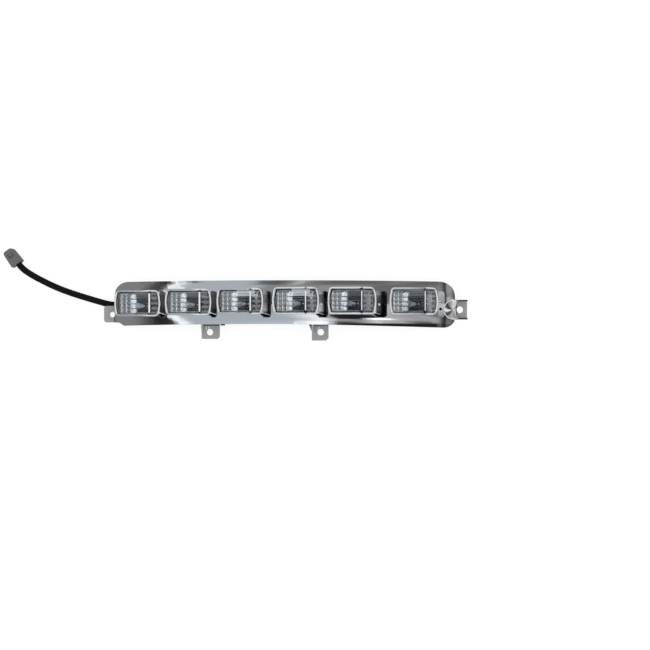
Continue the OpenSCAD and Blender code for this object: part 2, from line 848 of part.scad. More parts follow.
module connector_terminals() {
  color([0.75, 0.68, 0.45]) at_plug() translate([0, plug_offset, 0])
    for (y = [-2.6, 2.6])
      translate([seal_l + 2, y - 1.1, -1.1]) cube([10.5, 2.2, 2.2]);
}

bezel();
rear_housing();
housing_seal();
housing_screws();
vent_cap();
driver_board();
driver_coil();
driver_capacitors();
driver_chips();
cable_grommet();
lead();
connector_body();
connector_lock();
wire_seal();
connector_terminals();
for (i = cells) lens(i);
for (i = cells) reflector(i);
for (i = cells) light_guide(i);
for (i = cells) led(i);
for (i = cells) led_board(i);
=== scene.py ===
from math import radians

import bmesh
import bpy
from mathutils import Matrix, Vector


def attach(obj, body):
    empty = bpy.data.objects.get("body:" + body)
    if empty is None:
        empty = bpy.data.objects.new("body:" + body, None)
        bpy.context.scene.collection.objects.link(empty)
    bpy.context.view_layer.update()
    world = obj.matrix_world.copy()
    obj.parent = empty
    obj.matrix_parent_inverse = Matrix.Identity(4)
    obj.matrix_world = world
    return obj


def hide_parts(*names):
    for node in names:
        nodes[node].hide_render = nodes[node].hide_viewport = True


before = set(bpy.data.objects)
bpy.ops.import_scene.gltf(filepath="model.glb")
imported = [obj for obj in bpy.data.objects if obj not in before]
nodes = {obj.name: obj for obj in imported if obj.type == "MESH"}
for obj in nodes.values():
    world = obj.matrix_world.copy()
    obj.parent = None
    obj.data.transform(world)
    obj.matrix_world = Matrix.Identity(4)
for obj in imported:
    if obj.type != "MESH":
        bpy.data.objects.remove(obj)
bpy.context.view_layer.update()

mm = 0.001
cellCount = 6
cells = range(1, cellCount + 1)


# Camera: looks straight down on the lamp, which lies on its back
camera = {"lens": 60, "sensor": 36, "clipEnd": 20, "place": (0.0432, -0.0157, 1.2)}


def setCamera():
    data = bpy.data.cameras.new("camera")
    data.lens = camera["lens"]
    data.sensor_width = camera["sensor"]
    data.clip_end = camera["clipEnd"]
    viewer = bpy.data.objects.new("camera", data)
    viewer.location = camera["place"]
    bpy.context.scene.collection.objects.link(viewer)
    bpy.context.scene.camera = viewer


# Shader maths: a Wire is one socket, and sums of wires add their Math nodes
class Wire:
    def __init__(self, tree, socket=None):
        self.tree = tree
        self.socket = socket

    def make(self, kind, settings=None, sockets=None, out=0):
        node = self.tree.nodes.new("ShaderNode" + kind)
        for key, value in (settings or {}).items():
            if key == "stops":
                elements = node.color_ramp.elements
                elements[0].position, elements[1].position = value[0][0], value[-1][0]
                for place, tone in value[1:-1]:
                    elements.new(place)
                for element, (place, tone) in zip(elements, value):
                    element.color = (*tone, 1) if hasattr(tone, "__len__") else (tone, tone, tone, 1)
            else:
                setattr(node, key, value)
        for key, value in (sockets or {}).items():
            if isinstance(value, Wire):
                self.tree.links.new(value.socket, node.inputs[key])
            else:
                node.inputs[key].default_value = value
        return Wire(self.tree, node.outputs[out] if node.outputs else None)

    def also(self, out):  # another output of the same node
        return Wire(self.tree, self.socket.node.outputs[out])

    def math(self, operation, *others):
        return self.make("Math", {"operation": operation}, dict(enumerate((self, *others))))

    def __add__(self, other):
        return self.math("ADD", other)

    def __sub__(self, other):
        return self.math("SUBTRACT", other)

    def __mul__(self, other):
        return self.math("MULTIPLY", other)

    def __truediv__(self, other):
        return self.math("DIVIDE", other)

    def __lt__(self, other):
        return self.math("LESS_THAN", other)

    def __gt__(self, other):
        return self.math("GREATER_THAN", other)

    def __rsub__(self, other):
        return self.make("Math", {"operation": "SUBTRACT"}, {0: other, 1: self})

    __radd__ = __add__
    __rmul__ = __mul__


def rgb(*tone):  # one number gives a grey
    return (*tone, 1) if len(tone) == 3 else (*tone * 3, 1)


def mixColour(mask, first, second):  # first where the mask is 0, second where it is 1
    return mask.make("Mix", {"data_type": "RGBA"}, {0: mask, 6: first, 7: second}, 2)


def dimmed(colour, strength):
    return colour.make("VectorMath", {"operation": "SCALE"}, {0: colour, "Scale": strength})


def mixShader(mask, first, second):
    return first.make("MixShader", None, {0: mask, 1: first, 2: second})


def ramp(wire, *stops):
    return wire.make("ValToRGB", {"stops": stops}, {"Fac": wire})


def blend(wire, *edges):  # rises between two edges, and falls again between the last two of four
    return ramp(wire, *zip(edges, (0.0, 1.0, 1.0, 0.0)))


def inside(wire, low, high):
    return (wire > low) * (wire < high)


def noise(wire, place, scale, detail=2):
    return wire.make("TexNoise", None, {"Vector": place, "Scale": scale, "Detail": detail})


def objectPlace(wire, scale=(1, 1, 1)):
    place = wire.make("TexCoord", None, None, "Object")
    return wire.make("Mapping", None, {"Vector": place, "Scale": scale})


def axes(place):
    x = place.make("SeparateXYZ", None, {0: place})
    return x, x.also(1), x.also(2)


def bump(height, distance, strength=1, normal=None):
    sockets = {"Height": height, "Distance": distance * mm, "Strength": strength}
    if normal:
        sockets["Normal"] = normal
    return height.make("Bump", None, sockets)


def roundEdge(wire, radius):
    return wire.make("Bevel", {"samples": 4}, {"Radius": radius * mm})


def clear(wire, *tone):
    return wire.make("BsdfTransparent", None, {"Color": rgb(*tone)})


def finish(name, build):
    material = bpy.data.materials.new(name)
    material.use_nodes = True
    material.node_tree.nodes.clear()
    wire = Wire(material.node_tree)
    wire.make("OutputMaterial", None, {"Surface": build(wire)})
    return material


# Cells: where each lens is, from the frame. The foot is the glued part outside the clear block
cellEdge = {"near": 0.5, "foot": 1.7}


def cellPlace(cell):
    corners = [Vector(v.co) for v in nodes[f"lens_{cell}"].data.vertices]
    rib = max(corners, key=lambda v: v.z)
    low, high = min(v.y for v in corners), max(v.y for v in corners)
    left, right = min(v.x for v in corners), max(v.x for v in corners)
    near = cellEdge["near"] * mm
    leftTop = max(v.z for v in corners if v.x < left + near)
    rightTop = max(v.z for v in corners if v.x > right - near)
    return {
        "left": left, "right": right, "rib": rib.x, "tops": (leftTop, rib.z, rightTop),
        "middle": (low + high) / 2, "half": (high - low) / 2 - cellEdge["foot"] * mm,
    }


# Hood rims: a painted highlight on the lips round each lens, apart from most of the long edges left of the
# rib, and a painted highlight wedge left of the rib in the wedged cells
hoods = {
    "corner": 3.9, "bow": 2.2, "margin": 1.55, "lip": 3, "ridge": (1.2, 0.8), "wedged": (1, 2), "wedge": 12,
    "wedgeTop": 0.9,
}


def hoodRimHighlights(x, y, z):
    rims = 0
    corner, margin = hoods["corner"] * mm, hoods["margin"] * mm
    start, end = hoods["ridge"]
    for cell in cells:
        spot = cellPlace(cell)
        left, rib, right = spot["left"], spot["rib"], spot["right"]
        up = (y - spot["middle"]).math("ABSOLUTE")
        bowed = up * up * (hoods["bow"] * mm / spot["half"] ** 2)
        side = (x - (left + right) / 2).math("ABSOLUTE") + bowed - ((right - left) / 2 + margin - corner)
        side = side.math("MAXIMUM", 0)
        over = (up - (spot["half"] + margin - corner)).math("MAXIMUM", 0)
        hood = side * side + over * over < corner * corner
        ends = 1 - inside(x, left + start * mm, rib + end * mm)
        if cell in hoods["wedged"]:
            ends = ends.math("MAXIMUM", blend((x - rib) / (hoods["wedge"] * mm) + 1, 0.0, hoods["wedgeTop"]))
        leftTop, ribTop, rightTop = spot["tops"]
        rise = (x - left) * ((ribTop - leftTop) / (rib - left)) + leftTop
        drop = (x - rib) * ((rightTop - ribTop) / (right - rib)) + ribTop
        # painted highlight on the hood's lip
        rims += hood * ends * (z > rise.math("MINIMUM", drop) - hoods["lip"] * mm)
    return rims


# Recesses beside the hoods: painted shade and painted reflection, each with a tone from left to right, and
# one from its low end to its top
recess = {
    "corner": 3, "start": 1.5, "widths": (5.6, 6.1, 8.6, 10.1, 11.6, 7.1), "span": (-7.6, 20.8),
    # tones and rises: painted shade and painted reflection, one set per recess
    "tones": ((0.1, 0.12), (0.12, 0.1), (0.9, -0.5), (1.0, -0.7), (0.4, -0.3), (0.95, 0.75)),
    "darkest": 0.01, "blue": 1.04,
    "rises": (
        ((0.0, 0.15), (0.3, 0.35), (0.5, 0.8), (0.86, 1.0), (0.88, 1.8)),
        ((0.0, 0.1), (0.28, 0.15), (0.4, 0.6), (0.86, 1.0), (0.9, 1.3)),
        ((0.0, 0.1), (0.2, 0.25), (0.28, 1.1), (0.45, 0.8), (0.6, 0.4), (0.86, 0.5), (0.9, 1.0)),
        ((0.0, 0.1), (0.2, 0.25), (0.26, 1.5), (0.42, 1.2), (0.55, 0.4), (0.86, 0.35), (0.9, 1.2)),
        ((0.0, 0.1), (0.2, 0.15), (0.28, 0.6), (0.5, 0.35), (0.7, 0.6), (0.84, 0.9), (0.87, 2.4)),
        ((0.0, 0.5), (0.3, 1.0), (0.5, 1.2), (0.55, 0.7), (0.8, 0.8), (0.88, 1.0)),
    ),
    "slot": {"lean": -0.35, "top": -3.1, "line": 0.8, "before": 1.5, "short": 1},
}


def recesses(x, y):  # where they are, their painted shade and reflection, and the painted highlight lines over the drain slots
    pockets, tone, slotHighlights = 0, 0, 0
    low, high = [value * mm for value in recess["span"]]
    corner, slot = recess["corner"] * mm, recess["slot"]
    for cell in cells:
        start = cellPlace(cell)["right"] + recess["start"] * mm
        width = recess["widths"][cell - 1] * mm
        reach = (x - (start + width - corner)).math("MAXIMUM", 0)
        rise = ((y - (low + high) / 2).math("ABSOLUTE") - ((high - low) / 2 - corner)).math("MAXIMUM", 0)
        pocket = (x > start) * (reach * reach + rise * rise < corner * corner)
        # painted shade and reflection: a tone across the recess times one from its low end to its top
        first, last = recess["tones"][cell - 1]
        shade = ((x - start) * ((last - first) / width) + first).math("MAXIMUM", recess["darkest"])
        pockets += pocket
        tone += pocket * shade * ramp((y - low) / (high - low), *recess["rises"][cell - 1])
        if cell < cellCount:
            # painted highlight: a thin bright line over each drain slot
            top = (x - start) * slot["lean"] + slot["top"] * mm
            slotHighlights += inside(y - top, 0, slot["line"] * mm) * inside(
                x, start - slot["before"] * mm, start + width - slot["short"] * mm)
    return pockets, tone, slotHighlights


# Dish round the bracket's screw: a painted reflection of light and dark wedges inside a painted highlight
# ring
dish = {
    "place": (182.3, 1.0), "radius": 10.8, "end": 187.5, "floor": 15, "ring": 0.9, "ringHighlight": 0.95,
    "swirl": {"scale": 150, "size": 0.06, "twist": 4, "turn": -0.05},
    "wedges": (
        (0.0, 1.0), (0.045, 1.0), (0.06, 0.35), (0.1, 0.06), (0.14, 0.08), (0.18, 0.45), (0.25, 0.6),
        (0.3, 0.3), (0.35, 0.7), (0.5, 0.9), (0.6, 0.45), (0.66, 0.85), (0.76, 0.95), (0.8, 0.5),
        (0.86, 0.35), (0.9, 0.05), (0.965, 0.07), (0.985, 0.6), (1.0, 1.0),
    ),
}


def dishReflection(wire, place, x, y, z):
    middle, radius, swirl = dish["place"], dish["radius"] * mm, dish["swirl"]
    flat = wire.make("CombineXYZ", None, {0: x - middle[0] * mm, 1: y - middle[1] * mm})
    around = wire.make("TexGradient", {"gradient_type": "RADIAL"}, {"Vector": flat}, "Fac")
    away = wire.make("VectorMath", {"operation": "LENGTH"}, {0: flat}, 1)
    turned = noise(wire, place, swirl["scale"]) * swirl["size"] + away * swirl["twist"] + swirl["turn"]
    # painted reflection: light and dark wedges round the screw hole
    tone = ramp((around + turned).math("FRACT"), *dish["wedges"])
    tone = mixColour(away > radius - dish["ring"] * mm, tone, rgb(dish["ringHighlight"]))
    return (away < radius) * (x < dish["end"] * mm) * (z > dish["floor"] * mm), tone


# Small painted highlights: sparks (x, y, radius), webs (x, y, half length), gussets (x, low y, high y, lean)
highlightMarks = {
    "sparks": ((38.8, 6.5, 1.8), (102.1, 6.6, 1.4)),
    "webs": ((164.8, 9.8, 3.6), (166.3, 7.4, 2.6)), "webHalf": 0.7,
    "gussets": ((-84.6, -23.5, -17, 0.12), (-86.6, -21, -17, -0.1), (35.2, -21.5, -18, 0.5)),
    "gussetHalf": 0.45,
}


def paintedHighlights(wire, x, y):
    flat = wire.make("CombineXYZ", None, {0: x, 1: y})
    found = []
    for sparkX, sparkY, radius in highlightMarks["sparks"]:
        spark = (sparkX * mm, sparkY * mm, 0)
        away = wire.make("VectorMath", {"operation": "DISTANCE"}, {0: flat, 1: spark}, 1)
        found.append(away < radius * mm)
    for webX, webY, half in highlightMarks["webs"]:
        thick = highlightMarks["webHalf"]
        found.append(inside(x, (webX - half) * mm, (webX + half) * mm) * inside(
            y, (webY - thick) * mm, (webY + thick) * mm))
    for gussetX, low, high, lean in highlightMarks["gussets"]:
        thick = highlightMarks["gussetHalf"] * mm
        across = x - gussetX * mm - (y - low * mm) * lean
        found.append(inside(across, -thick, thick) * inside(y, low * mm, high * mm))
    bright = found[0]
    for mark in found[1:]:
        bright = bright.math("MAXIMUM", mark)
    return bright


# Bezel: mirror plate, satin on the tabs and lugs, and painted reflection in streaks where its right end
# rolls over
bezelPlate = {
    "plate": (0.74, 0.76, 0.79), "satin": (0.4, 0.41, 0.42), "highlightTone": (0.86, 0.87, 0.88), "edge": 0.5,
    "haze": ((0.35, 0.035), (0.75, 0.075)), "hazeScale": 35, "rippleScales": (60, 240), "fineRipple": 0.25,
    "rippleDepth": 0.06, "rippleStrength": 0.35, "lugTop": -16.5, "lugEnd": 60, "tabStart": 187.5,
    # channel: its tone is painted shade on the wall tops beside the bracket
    "channel": {"start": 188.5, "half": 9.2, "lip": 1.5, "tone": (0.012, 0.012, 0.013)},
    "lessMetal": {"satin": 0.8, "rims": 0.9, "pockets": 0.75, "dish": 0.8, "roll": 0.4},
    "rougher": {"satin": 0.4, "rims": 0.25, "pockets": 0.1, "dish": 0.1},
}
endRoll = {
    "start": 164, "blend": 6.5, "streakStart": 168, "streakWidth": 18, "height": 30,
    "streaks": (
        (0.0, 0.5), (0.18, 0.35), (0.24, 0.15), (0.33, 0.18), (0.4, 0.75), (0.6, 0.85), (0.72, 0.7),
        (0.82, 0.35), (0.9, 0.1), (1.0, 0.05),
    ),
    "rise": ((0.15, 0.3), (0.45, 0.5), (0.6, 1.0), (0.95, 0.9), (1.0, 0.6)),
}


def chromePlate(wire):
    place = objectPlace(wire)
    x, y, z = axes(place)
    coarse, fine = bezelPlate["rippleScales"]
    ripple = noise(wire, place, coarse) + noise(wire, place, fine, 1) * bezelPlate["fineRipple"]
    haze = ramp(noise(wire, place, bezelPlate["hazeScale"], 4), *bezelPlate["haze"])
    lugs = (y < bezelPlate["lugTop"] * mm) * (x < bezelPlate["lugEnd"] * mm)
    satin = lugs.math("MAXIMUM", x.math("ABSOLUTE") > bezelPlate["tabStart"] * mm)
    pockets, tone, slotHighlights = recesses(x, y)
    # painted highlights: hood rims, drain slot lines and small marks, all given the highlight tone
    rims = hoodRimHighlights(x, y, z).math("MAXIMUM", slotHighlights).math("MAXIMUM", paintedHighlights(wire, x, y))
    inDish, wedges = dishReflection(wire, place, x, y, z)

    # painted reflection: light and dark streaks on the right end's roll, darker towards the bottom as
    # painted shade
    streaks = ramp((x - endRoll["streakStart"] * mm) / (endRoll["streakWidth"] * mm), *endRoll["streaks"])
    streaks = streaks * ramp(y / (endRoll["height"] * mm) + 0.5, *endRoll["rise"])
    roll = blend((x - endRoll["start"] * mm) / (endRoll["blend"] * mm), 0.0, 1.0)
    roll = roll * (x < bezelPlate["tabStart"] * mm) * (1 - inDish) * (1 - satin)

    channel = bezelPlate["channel"]
    channelTop = max(v.co.z for v in nodes["bezel"].data.vertices if v.co.x > channel["start"] * mm)
    # painted shade: the channel's wall tops are painted near black
    shadedWallTops = (y - dish["place"][1] * mm).math("ABSOLUTE") > channel["half"] * mm
    shadedWallTops = shadedWallTops * (x > channel["start"] * mm) * (z > channelTop - channel["lip"] * mm)

    bare = mixColour(satin, rgb(*bezelPlate["plate"]), rgb(*bezelPlate["satin"]))
    bare = mixColour(roll, mixColour(inDish, bare, wedges), streaks)
    bare = mixColour(shadedWallTops, bare, rgb(*channel["tone"]))
    # the recesses' painted shade and reflection, a little bluer
    dull = wire.make("CombineColor", None, {0: tone, 1: tone, 2: tone * recess["blue"]})
    less, more = bezelPlate["lessMetal"], bezelPlate["rougher"]
    metal = 1 - satin * less["satin"] - rims * less["rims"]
    metal = metal - pockets * less["pockets"] - inDish * less["dish"]
    rough = satin * (more["satin"] - haze) + rims * more["rims"]
    rough = rough + pockets * more["pockets"] + inDish * more["dish"] + haze
    return wire.make("BsdfPrincipled", None, {
        "Base Color": mixColour(rims, mixColour(pockets, bare, dull), rgb(*bezelPlate["highlightTone"])),
        "Metallic": metal - roll * (1 - pockets) * less["roll"],
        "Roughness": rough,
        "Normal": bump(ripple, bezelPlate["rippleDepth"], bezelPlate["rippleStrength"],
                       roundEdge(wire, bezelPlate["edge"])),
    })


# Reflectors: facets to the left with a painted glow, a fluted floor to the right darkened as painted shade,
# with a band of painted light above it
mirror = {
    "column": (14.5, 20.1), "rowStart": -10.6, "rowPitch": 5.1, "rowSpan": (-10.6, 9.8),
    "block": (0.12, 0.9), "floor": (19.2, 39), "floorTop": 5.6,
    "flutes": 120, "fluteDepth": 0.12, "fluteStrength": 0.8,
    "plated": ((0.84, 0.85, 0.87), (0.96, 0.97, 0.98)), "speckles": 900, "speckleEdges": (0.4, 0.7),
    "floorShade": ((0.12, 0.13, 0.17), (0.34, 0.36, 0.42)), "polish": ((0.3, 0.06), (0.7, 0.16)),
    "paintedGlow": ((0.08, 0.08, 0.09), (0.42, 0.43, 0.44)), "glints": 420, "glintEdges": (0.38, 0.56),
    # band tones differ from cell to cell: painted light
    "bandTones": (0.1, 0.12, 0.5, 0.5, 0.1, 0.14), "bandTint": ((1, 1, 1.05), (1.6, 1.6, 1.7)),
    "bandLit": 0.35, "lessMetal": 0.9, "columnRough": 0.25, "bandRough": 0.3,
}


def mirrorCoat(cell):
    spot = cellPlace(cell)
    tone = mirror["bandTones"][cell - 1]

    def build(wire):
        place = objectPlace(wire)
        speckle = noise(wire, place, mirror["speckles"], 3)
        x, y, _ = axes(place)
        along, up = (x - spot["left"]) / mm, (y - spot["middle"]) / mm
        block = ((up - mirror["rowStart"]) / mirror["rowPitch"]).math("FRACT")
        column = inside(along, *mirror["column"]) * inside(block, *mirror["block"])
        column = column * inside(up, *mirror["rowSpan"])
        beam = inside(along, *mirror["floor"])
        # painted shade on the fluted floor, painted light on the band above it
        floor, band = beam * (up < mirror["floorTop"]), beam * (up > mirror["floorTop"])
        flutes = wire.make("TexWave", {"bands_direction": "Y"}, {
            "Vector": place, "Scale": mirror["flutes"]}, "Fac")
        speckles = blend(speckle, *mirror["speckleEdges"])
        plated = mixColour(speckles, *[rgb(*ends) for ends in mirror["plated"]])
        floorShade = mixColour(flutes, *[rgb(*ends) for ends in mirror["floorShade"]])
        paintedBand = mixColour(flutes, *[rgb(*[tone * tint for tint in ends]) for ends in mirror["bandTint"]])
        glow = blend(noise(wire, place, mirror["glints"], 1), *mirror["glintEdges"])
        paintedGlow = mixColour(column, paintedBand, mixColour(glow, *[rgb(*ends) for ends in mirror["paintedGlow"]]))
        return wire.make("BsdfPrincipled", None, {
            "Base Color": mixColour(band, mixColour(floor, plated, floorShade), paintedBand),
            "Metallic": 1 - column * mirror["lessMetal"] - band * mirror["lessMetal"],
            "Roughness": column * mirror["columnRough"] + band * mirror["bandRough"]
            + ramp(speckle, *mirror["polish"]),
            "Normal": bump(flutes * floor, mirror["fluteDepth"], mirror["fluteStrength"]),
            # painted glow: the facets emit light though they are no lamp, and the band emits more faintly
            "Emission Color": dimmed(paintedGlow, column + band * mirror["bandLit"]),
            "Emission Strength": 1,
        })
    return build


# Lens walls: a sheen that grows towards grazing, painted bars of refracted light in the steep side, painted
# highlights on the rounded edges
wall = {
    "index": 1.6, "sheen": 0.5, "sheenTone": (0.9, 0.93, 0.95), "clear": (0.95, 0.965, 0.975),
    "haze": ((0.4, 0.01), (0.8, 0.05)), "hazeScale": 80, "waveScale": 120, "waveDepth": 0.02,
    "bars": 4, "barPitch": 5.4, "barHaze": 0.48, "barTones": ((0.38, 0.4, 0.42), (0.56, 0.58, 0.6)),
    # steepHaze: per cell, how strongly the painted bars show
    "steepHaze": (0.05, 0.05, 0.05, 0.12, 0.16, 0.16), "pastRib": 2,
    # edge tones, glints and the rib line below are painted highlights
    "edgeClear": (0.8, 0.82, 0.84), "edgeTones": ((0.8, 0.83, 0.85), (1, 1, 1)), "glintScale": 260,
    "edgeSolid": ((0.3, 0.4), (0.7, 0.75)), "ribReach": 1.6, "ribHalf": 10.4, "ribSolid": 0.97,
    "fluteClear": ((0.93, 0.94, 0.95), (1, 1, 1)), "cloudScale": 300,
}


def clearLens(cell):
    spot = cellPlace(cell)

    def build(wire):
        place = objectPlace(wire)
        x, y, _ = axes(place)
        haze = ramp(noise(wire, place, wall["hazeScale"], 3), *wall["haze"])
        wave = bump(noise(wire, place, wall["waveScale"], 1), wall["waveDepth"], 0.3)
        front = 1 - wire.make("NewGeometry", None, None, "Backfacing")
        sheen = wire.make("Fresnel", None, {"IOR": wall["index"], "Normal": wave}) * front * wall["sheen"]
        surface = wire.make("BsdfPrincipled", None, {
            "Base Color": rgb(*wall["sheenTone"]), "Metallic": 1, "Roughness": haze, "Normal": wave})
        # painted light: grey bars on the steep side stand in for light refracted through the flutes
        up = (y - spot["middle"]) / (wall["barPitch"] * mm)
        bar = ramp((up + 0.5).math("PINGPONG", 0.5) * 2,
                   (0.25, wall["steepHaze"][cell - 1]), (0.75, wall["barHaze"]))
        steep = (x > spot["rib"] + wall["pastRib"] * mm) * front * (up.math("ABSOLUTE") < wall["bars"] / 2)
        paleShader = wire.make("BsdfPrincipled", None, {
            "Base Color": mixColour(haze * 10, *[rgb(*tone) for tone in wall["barTones"]]),
            "Roughness": 0.3})
        return mixShader(steep * bar, mixShader(sheen, clear(wire, *wall["clear"]), surface), paleShader)
    return build


def edgeHighlight(cell):  # the rib's painted highlight line stops short of the rims
    spot = cellPlace(cell)

    def build(wire):
        place = objectPlace(wire)
        x, y, _ = axes(place)
        glint = noise(wire, place, wall["glintScale"])
        nearRib = (x - spot["rib"]).math("ABSOLUTE") < wall["ribReach"] * mm
        within = (y - spot["middle"]).math("ABSOLUTE") < wall["ribHalf"] * mm
        highlightShader = wire.make("BsdfPrincipled", None, {
            "Base Color": mixColour(glint, *[rgb(*tone) for tone in wall["edgeTones"]]),
            "Roughness": 0.12, "Coat Weight": 0.5})
        # painted highlight: the white shader shows on the edges where the glint noise says, and along the
        # rib
        solid = ramp(glint, *wall["edgeSolid"]) * (1 - nearRib) + nearRib * within * wall["ribSolid"]
        return mixShader(solid, clear(wire, *wall["edgeClear"]), highlightShader)
    return build


def clearFlute(wire):  # the flutes behind a steep side, all but unseen from the front
    cloud = noise(wire, objectPlace(wire), wall["cloudScale"])
    return mixShader(cloud, *[clear(wire, *tone) for tone in wall["fluteClear"]])


# Light guides: clear cones with frosted streaks along them, mixed in more in cells 1 and 2 as painted light
guide = {
    "clear": (0.95, 0.96, 0.97), "streaks": ((0.6, 0.63, 0.66), (0.95, 0.96, 0.97)),
    "streakScale": 900, "stretch": (0.25, 1, 1), "dimpleScale": 500, "dimpleDepth": 0.05,
    # per cell, low and high mix of the frosted streaks, raised in cells 1 and 2 as painted light
    "milkAndPaintedLight": ((0.6, 1.0), (0.3, 0.9), (0.15, 0.75), (0.15, 0.75), (0.15, 0.75), (0.15, 0.75)),
}


def clearAcrylic(cell):
    low, high = guide["milkAndPaintedLight"][cell - 1]

    def build(wire):
        streak = noise(wire, objectPlace(wire, guide["stretch"]), guide["streakScale"])
        dimples = noise(wire, objectPlace(wire), guide["dimpleScale"], 1)
        paleShader = wire.make("BsdfPrincipled", None, {
            "Base Color": mixColour(streak, *[rgb(*tone) for tone in guide["streaks"]]), "Roughness": 0.15,
            "Normal": bump(dimples, guide["dimpleDepth"], 0.4)})
        return mixShader(ramp(streak, (0.35, low), (0.65, high)), clear(wire, *guide["clear"]), paleShader)
    return build


# LEDs: a pale dome on a dark body
led = {
    "dome": 1.1, "domeTone": (0.6, 0.6, 0.58), "body": ((0.03, 0.035, 0.045), (0.06, 0.065, 0.08)),
    "grainScale": 2500,
}


def ledPackage(cell):
    corners = [Vector(v.co) for v in nodes[f"led_{cell}"].data.vertices]
    middle = [(min(v[k] for v in corners) + max(v[k] for v in corners)) / 2 for k in range(2)]

    def build(wire):
        place = objectPlace(wire)
        flat = wire.make("VectorMath", {"operation": "MULTIPLY"}, {0: place, 1: (1, 1, 0)})
        away = wire.make("VectorMath", {"operation": "DISTANCE"}, {0: flat, 1: (*middle, 0)}, 1)
        body = mixColour(noise(wire, place, led["grainScale"]), *[rgb(*tone) for tone in led["body"]])
        return wire.make("BsdfPrincipled", None, {
            "Base Color": mixColour(away < led["dome"] * mm, body, rgb(*led["domeTone"])),
            "Roughness": 0.25, "Coat Weight": 0.6})
    return build


# Boards: lacquer over a pattern of tracks
board = {
    "trackScale": 420, "trackGap": 0.03, "trackDepth": 0.05, "cloudScale": 300, "cloud": 0.3,
    "roughness": 0.32,
}


def solderMask(light, dark):
    def build(wire):
        place = objectPlace(wire)
        tracks = wire.make("TexBrick", {"offset": 0.37, "squash": 1.6}, {
            "Vector": place, "Scale": board["trackScale"], "Mortar Size": board["trackGap"],
            "Mortar Smooth": 0.2}, "Fac")
        cloud = noise(wire, place, board["cloudScale"], 3)
        lacquer = tracks * (1 - board["cloud"]) + cloud * board["cloud"]
        return wire.make("BsdfPrincipled", None, {
            "Base Color": mixColour(lacquer, rgb(*dark), rgb(*light)),
            "Roughness": board["roughness"], "Normal": bump(tracks, board["trackDepth"], 0.5),
        })
    return build


# Plastic and rubber: fine moulded grain on slightly cloudy, slightly rounded pieces
plastic = {"cloudScale": 45, "cloud": 0.15, "edge": 0.3}


def mouldedPlastic(tone, grainScale=1800, roughness=(0.42, 0.6), depth=0.03):
    def build(wire):
        place = objectPlace(wire)
        grain = noise(wire, place, grainScale, 3)
        cloud = noise(wire, place, plastic["cloudScale"], 3)
        darker = [part * (1 - plastic["cloud"]) for part in tone]
        lighter = [part * (1 + plastic["cloud"]) for part in tone]
        return wire.make("BsdfPrincipled", None, {
            "Base Color": mixColour(cloud, rgb(*darker), rgb(*lighter)),
            "Roughness": ramp(cloud, (0.3, roughness[0]), (0.7, roughness[1])),
            "Normal": bump(grain, depth, 0.6, roundEdge(wire, plastic["edge"])),
        })
    return build


# Bare metal: rings of fine scratches from the lathe
steel = {
    "tones": ((0.5, 0.5, 0.48), (0.66, 0.66, 0.64)), "cloudScale": 400, "rings": (1, 1, 6), "ringScale": 700,
    "polish": ((0.3, 0.25), (0.7, 0.45)), "ringDepth": 0.02,
}


def turnedSteel(wire):
    scratch = noise(wire, objectPlace(wire, steel["rings"]), steel["ringScale"], 4)
    cloud = noise(wire, objectPlace(wire), steel["cloudScale"])
    return wire.make("BsdfPrincipled", None, {
        "Base Color": mixColour(cloud, *[rgb(*tone) for tone in steel["tones"]]),
        "Metallic": 1, "Roughness": ramp(scratch, *steel["polish"]),
        "Normal": bump(scratch, steel["ringDepth"], 0.5),
    })


def wovenSleeve(wire):
    along, around, _ = axes(wire.make("TexCoord", None, None, "UV"))
    first, second = [lean.math("PINGPONG", 0.5) for lean in (
        along + around * lead["strands"], along - around * lead["strands"])]
    weave = first.math("MAXIMUM", second)
    return wire.make("BsdfPrincipled", None, {
        "Base Color": mixColour(blend(weave, 0.2, 0.5), *[rgb(*tone) for tone in lead["tones"]]),
        "Roughness": 0.9, "Specular IOR Level": 0.25, "Normal": bump(weave, 0.5, 0.9),
    })


def paint(piece, material):
    piece.data.materials.clear()
    piece.data.materials.append(material)


def addPiece(mesh, name, *materials):  # a new piece on the lamp's only body
    piece = bpy.data.objects.new(name, mesh)
    bpy.context.scene.collection.objects.link(piece)
    for material in materials:
        mesh.materials.append(material)
    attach(piece, "root")
    return piece


# Lead: a woven sleeve along the CAD tube's route, which is in millimetres
lead = {
    "route": [
        (-187, 6.5, 6), (-192, 6.8, 5.7), (-198, 7.9, 5), (-205, 9.8, 4.1), (-213, 12.1, 3.6),
        (-221, 14.5, 3.5), (-229, 17, 3.5), (-237, 19.6, 3.5), (-245, 22.5, 3.5), (-253, 25.7, 3.5),
        (-261, 29.3, 3.5), (-269, 33.3, 3.6), (-276, 37, 4), (-282, 40.6, 4.6), (-287.6, 44.5, 5.2),
        (-292, 48.6, 5.5), (-294.4, 51.9, 5.5),
    ],
    "diameter": 6.9, "sides": 28, "steps": 4, "weavePitch": 5.2, "strands": 14,
    "tones": ((0.002, 0.002, 0.002), (0.009, 0.009, 0.0095)),
}


def smoothRoute(points, steps):  # a Catmull-Rom curve through the points
    line = [Vector(p) for p in points]
    line = [2 * line[0] - line[1], *line, 2 * line[-1] - line[-2]]
    found = []
    for a, b, c, d in zip(line, line[1:], line[2:], line[3:]):
        for k in range(steps):
            t = k / steps
            found.append(0.5 * (2 * b + (c - a) * t + (2 * a - 5 * b + 4 * c - d) * t ** 2
                                + (3 * b - a - 3 * c + d) * t ** 3))
    return found + [line[-2]]


